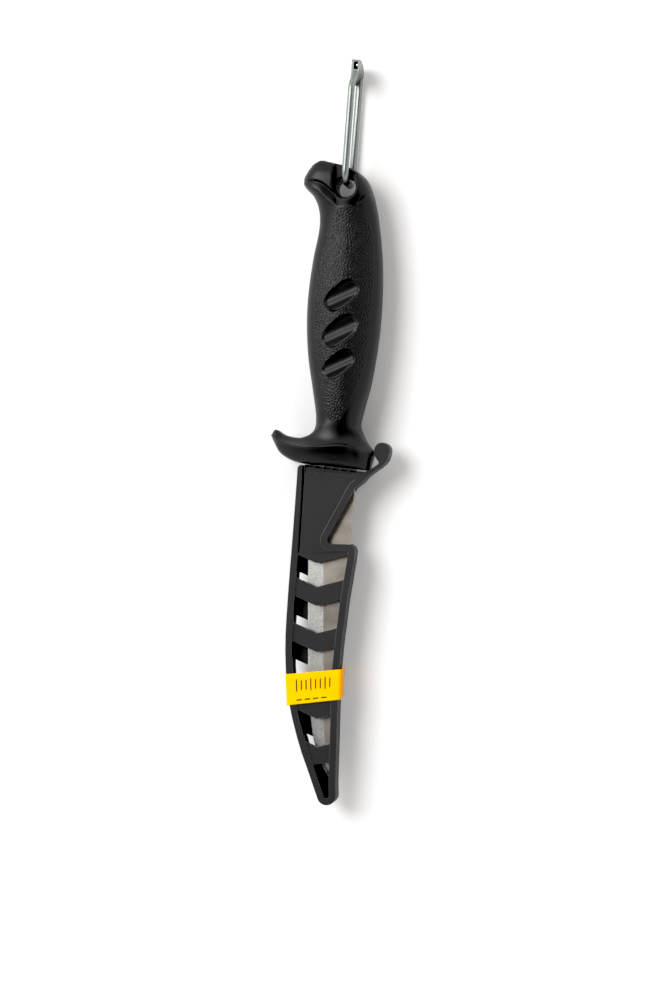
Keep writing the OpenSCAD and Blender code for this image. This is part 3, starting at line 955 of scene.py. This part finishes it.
def skin_rings(rings):
    """Quads round a row of rings, with a flat cap at each end."""
    count, n = len(rings), len(rings[0])
    quads = [
        (k * n + i, k * n + (i + 1) % n, (k + 1) * n + (i + 1) % n, (k + 1) * n + i)
        for k in range(count - 1) for i in range(n)
    ]
    caps = [tuple(range(n - 1, -1, -1)), tuple((count - 1) * n + i for i in range(n))]
    return [p for ring in rings for p in ring], quads, caps


def make_blade():
    stations = np.linspace(-BLADE_LEN, 2.8, 160)
    edge, spine, grind = (curve(c, stations) for c in (EDGE_X, SPINE_X, GRIND_X))
    rings = []
    for y, e, s, g in zip(stations, edge, spine, grind):
        g = max(g, e + 0.15)
        s = max(s, g + 0.15)
        near = e + min(EDGE_STRIP, (g - e) * 0.3)
        half = [(s, SPINE_HALF), (s - SPINE_CUT, 1.0), (g, 1.0)]
        ring = [(x, y, BLADE_HALF * h) for x, h in half]
        ring += [(near, y, LIP + STRIP_RISE), (e, y, LIP)]
        rings.append(ring + [(x, y_, -z) for x, y_, z in reversed(ring)])
    points, quads, caps = skin_rings(rings)
    faces = [*quads, *caps]
    blade = make_piece("ground_blade", place_all(points), faces, blade_steel, smooth=False)
    strip = np.arange(len(faces)) % len(rings[0])
    bevel = np.isin(strip, GROUND).astype(float)
    bevel[-len(caps):] = 1
    store(blade, "bevel", bevel, "FACE")
    return blade


blade = make_blade()
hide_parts("blade")
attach(blade, "knife")
print("blade:", len(blade.data.polygons), "faces")

# %% [markdown]
# ## Sheath
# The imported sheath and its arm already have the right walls, windows and steps. What they
# lack is the small round on every moulded edge. So copies of the two meshes are joined
# into one skin, and every sharp edge gets a narrow bevel.
#
# Two places need care. The narrow opening beside the left rim nearly meets the first
# window, and rounded edges would cross there, so a small block closes its last 0.9 mm.
# And the walls of the blade's slot keep their triangles, because as one face round all
# the windows they would overlap themselves.

# %% Sheath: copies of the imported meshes
SAME_POINT = 1e-7  # metres; packed triangles that share a corner are this close


def add_rounds(piece, width, angle):
    """A narrow round on every edge that is sharper than the angle, in degrees."""
    rounded = piece.modifiers.new("rounded", "BEVEL")
    rounded.width, rounded.segments = width, 2
    rounded.limit_method, rounded.angle_limit = "ANGLE", math.radians(angle)
    return rounded


def welded_copy(node):
    """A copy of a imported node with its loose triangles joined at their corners."""
    mesh = frame["nodes"][node].data.copy()
    work = bmesh.new()
    work.from_mesh(mesh)
    bmesh.ops.remove_doubles(work, verts=work.verts, dist=SAME_POINT)
    work.to_mesh(mesh)
    work.free()
    piece = bpy.data.objects.new(node + "_copy", mesh)
    bpy.context.scene.collection.objects.link(piece)
    return piece


def apply_modifiers(piece):
    graph = bpy.context.evaluated_depsgraph_get()
    mesh = bpy.data.meshes.new_from_object(piece.evaluated_get(graph), depsgraph=graph)
    piece.modifiers.clear()
    piece.data = mesh


print("tools for the sheath ready")

# %% Sheath: the block in the side opening
WEB_X, WEB_Y, WEB_Z = (-15.5, -14.4), (-38.61, -37.7), (1.6, 4.0)


def make_block(levels):
    """The block. Its top and bottom lie exactly in two of the sheath's own levels."""
    corners = [(x, y, z) for x in WEB_X for y in WEB_Y for z in WEB_Z]
    faces = [
        (0, 1, 3, 2), (4, 6, 7, 5), (0, 4, 5, 1), (2, 3, 7, 6), (0, 2, 6, 4), (1, 5, 7, 3),
    ]
    block = make_piece("web_block", place_all(corners), faces, sheath_grey, smooth=False)
    for corner in block.data.vertices:
        corner.co.z = min(levels, key=lambda level: abs(level - corner.co.z))
    return block


print("block:", round(WEB_Y[1] - WEB_Y[0], 2), "mm long")

# %% Sheath: one skin, rounded edges
EDGE_ROUND = 0.2 * MM
MERGE = 0.002 * MM
SLOT_HALF = 1.6 * MM
LEVEL_FACE = 0.999  # a face whose normal's z is above this lies flat
PANEL, EDGE = 0, 1  # the sheath's two materials


def simplify(sheath):
    """Joins triangles that lie in one plane, all but those of the slot's walls."""
    work = bmesh.new()
    work.from_mesh(sheath.data)
    bmesh.ops.remove_doubles(work, verts=work.verts, dist=MERGE)
    outer = [v for v in work.verts if abs(v.co.z - KNIFE_ORIGIN.z) > SLOT_HALF * 1.01]
    kept = set(outer)
    outer_edges = [e for e in work.edges if all(v in kept for v in e.verts)]
    bmesh.ops.dissolve_limit(
        work, angle_limit=math.radians(0.5), verts=outer, edges=outer_edges, delimit=set()
    )
    bmesh.ops.dissolve_degenerate(work, edges=work.edges, dist=MERGE)
    for face in work.faces:
        face.material_index = PANEL
    work.to_mesh(sheath.data)
    work.free()


def flatten_panels(mesh):
    """Gives the flat panels one normal each, so that no long thin face shades as a line."""
    normals = [tuple(corner.vector) for corner in mesh.corner_normals]
    for face in mesh.polygons:
        if face.material_index == PANEL and abs(face.normal.z) > LEVEL_FACE:
            for corner in face.loop_indices:
                normals[corner] = tuple(face.normal)
    mesh.normals_split_custom_set(normals)


def make_sheath():
    sheath, arm = welded_copy("sheath_body"), welded_copy("retention_arm")
    levels = {corner.co.z for corner in sheath.data.vertices}
    for other in (arm, make_block(levels)):
        joined = sheath.modifiers.new("joined", "BOOLEAN")
        joined.operation, joined.object, joined.solver = "UNION", other, "EXACT"
        apply_modifiers(sheath)
        bpy.data.objects.remove(other)
    simplify(sheath)
    sheath.data.materials.clear()
    for finish in (sheath_grey, sheath_edge_highlight):
        sheath.data.materials.append(finish)
    rounded = add_rounds(sheath, EDGE_ROUND, 32)
    rounded.harden_normals = True
    rounded.use_clamp_overlap = False  # one thin web would shrink every round on the sheath
    # The rounds take the edge material, which paints a highlight along every edge.
    rounded.material = EDGE
    apply_modifiers(sheath)
    flatten_panels(sheath.data)
    sheath.name = "moulded_sheath"
    return sheath


sheath = make_sheath()
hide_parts("sheath_body", "retention_arm")
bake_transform(sheath)
print("sheath:", len(sheath.data.polygons), "faces")

# %% [markdown]
# ## Label
# A strip of yellow paper lies across both rims and folds down both sides. Paper held only
# at its ends never lies dead flat, so it bellies a little.

# %% Label
LABEL_LEFT = ((-17.95, -101.8), (-18.95, -88.8))  # lower corner, upper corner
LABEL_RIGHT = ((5.1, -98.4), (5.1, -85.75))
LABEL_T, LABEL_TOP = 0.2, 4.9  # thickness, and height of the outer face
FOLD_LOW, FOLD_R, FOLD_RISE = -3.9, 0.95, 1.3  # the right fold slants up as it goes down
BELLY_DEEP, RIPPLE_DEEP = 0.10, 0.04
ROWS, ACROSS, DOWN = 25, 56, 12  # points up the paper, across its front, down each side


def label_row(up_share):
    """Points of the paper's outer face at one height, their normals, and how far along."""
    (xl, yl), (xr, yr) = (
        np.array(low) + (np.array(high) - low) * up_share for low, high in (LABEL_LEFT, LABEL_RIGHT)
    )
    turn = np.linspace(0, math.pi / 2, 9)[1:-1]
    inner, side, flat = LABEL_TOP - FOLD_R, np.ones(DOWN), np.zeros(ACROSS)
    x = [xl * side, xl + FOLD_R * (1 - np.cos(turn)), np.linspace(xl + FOLD_R, xr - FOLD_R, ACROSS)]
    x = np.concatenate([*x, xr - FOLD_R * (1 - np.sin(turn)), xr * side])
    drop = np.linspace(FOLD_LOW, inner, DOWN)
    left_turn, right_turn = inner + FOLD_R * np.sin(turn), inner + FOLD_R * np.cos(turn)
    z = np.concatenate([drop, left_turn, flat + LABEL_TOP, right_turn, drop[::-1]])
    normal_x = np.concatenate([-side, -np.cos(turn), flat, np.sin(turn), side])
    normal_z = np.concatenate([0 * side, np.sin(turn), flat + 1, np.cos(turn), 0 * side])
    share = (x - xl) / (xr - xl)
    fallen = (LABEL_TOP - z) / (LABEL_TOP - FOLD_LOW) * np.where(share > 0.5, 1, 0)
    y = yl + (yr - yl) * share + FOLD_RISE * fallen
    return x, y, z, normal_x, normal_z, share + 0.35 * fallen


def make_label():
    points, marks = [], []
    for side in (0, 1):
        for k in range(ROWS):
            up_share = k / (ROWS - 1)
            x, y, z, normal_x, normal_z, along = label_row(up_share)
            belly = BELLY_DEEP * np.sin(math.pi * np.clip(along, 0, 1)) ** 2 * normal_z
            ripple = RIPPLE_DEEP * np.sin(9 * along + 3 * up_share) ** 2 * normal_z
            inward = side * LABEL_T * 0.6 + belly + ripple
            points += list(zip(x - normal_x * inward, y, z - normal_z * inward))
            marks += [(a, up_share) for a in along]
    n = len(points) // 2
    width = n // ROWS
    faces = []
    for k in range(ROWS - 1):
        for i in range(width - 1):
            a = k * width + i
            ring = (a, a + 1, a + 1 + width, a + width)
            faces += [ring, tuple(v + n for v in reversed(ring))]
        for a, b in ((k * width, (k + 1) * width), ((k + 2) * width - 1, (k + 1) * width - 1)):
            faces.append((a, b, b + n, a + n))
    for i in range(width - 1):
        top = (ROWS - 1) * width + i
        faces += [(i + 1, i, i + n, i + 1 + n), (top, top + 1, top + 1 + n, top + n)]
    label = make_piece("price_label", place_all(points), faces, label_yellow)
    store(label, "along", [m[0] for m in marks])
    store(label, "upward", [m[1] for m in marks])
    return label


label = make_label()
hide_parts("wrap_label")
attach(label, "sheath")
print("label:", len(label.data.polygons), "faces")

# %% [markdown]
# ## Link
# The imported link, gate, rivet, spring and pin have their true shapes, so they stay. The
# link, gate and rivet get a small round on their edges, and each part gets its own metal.

# %% Link, gate and pins
LINK_FINISHES = {  # each node's metal, and the round on its edges in mm
    "link_body": (plated_wire, 0.25), "link_gate": (plated_wire, 0.15),
    "gate_rivet": (bright_plate, 0.12), "gate_spring": (oiled_steel, 0.0),
    "nose_pin": (bright_plate, 0.0),
}
for node, (finish, edge_round) in LINK_FINISHES.items():
    piece = frame["nodes"][node]
    for index in range(len(piece.data.materials)):
        piece.material_slots[index].link = "OBJECT"
        piece.material_slots[index].material = finish
    weld = piece.modifiers.new("weld", "WELD")
    weld.merge_threshold = 1e-6
    if edge_round:
        add_rounds(piece, edge_round * MM, 40)
    print(node, "finished with", finish.name)
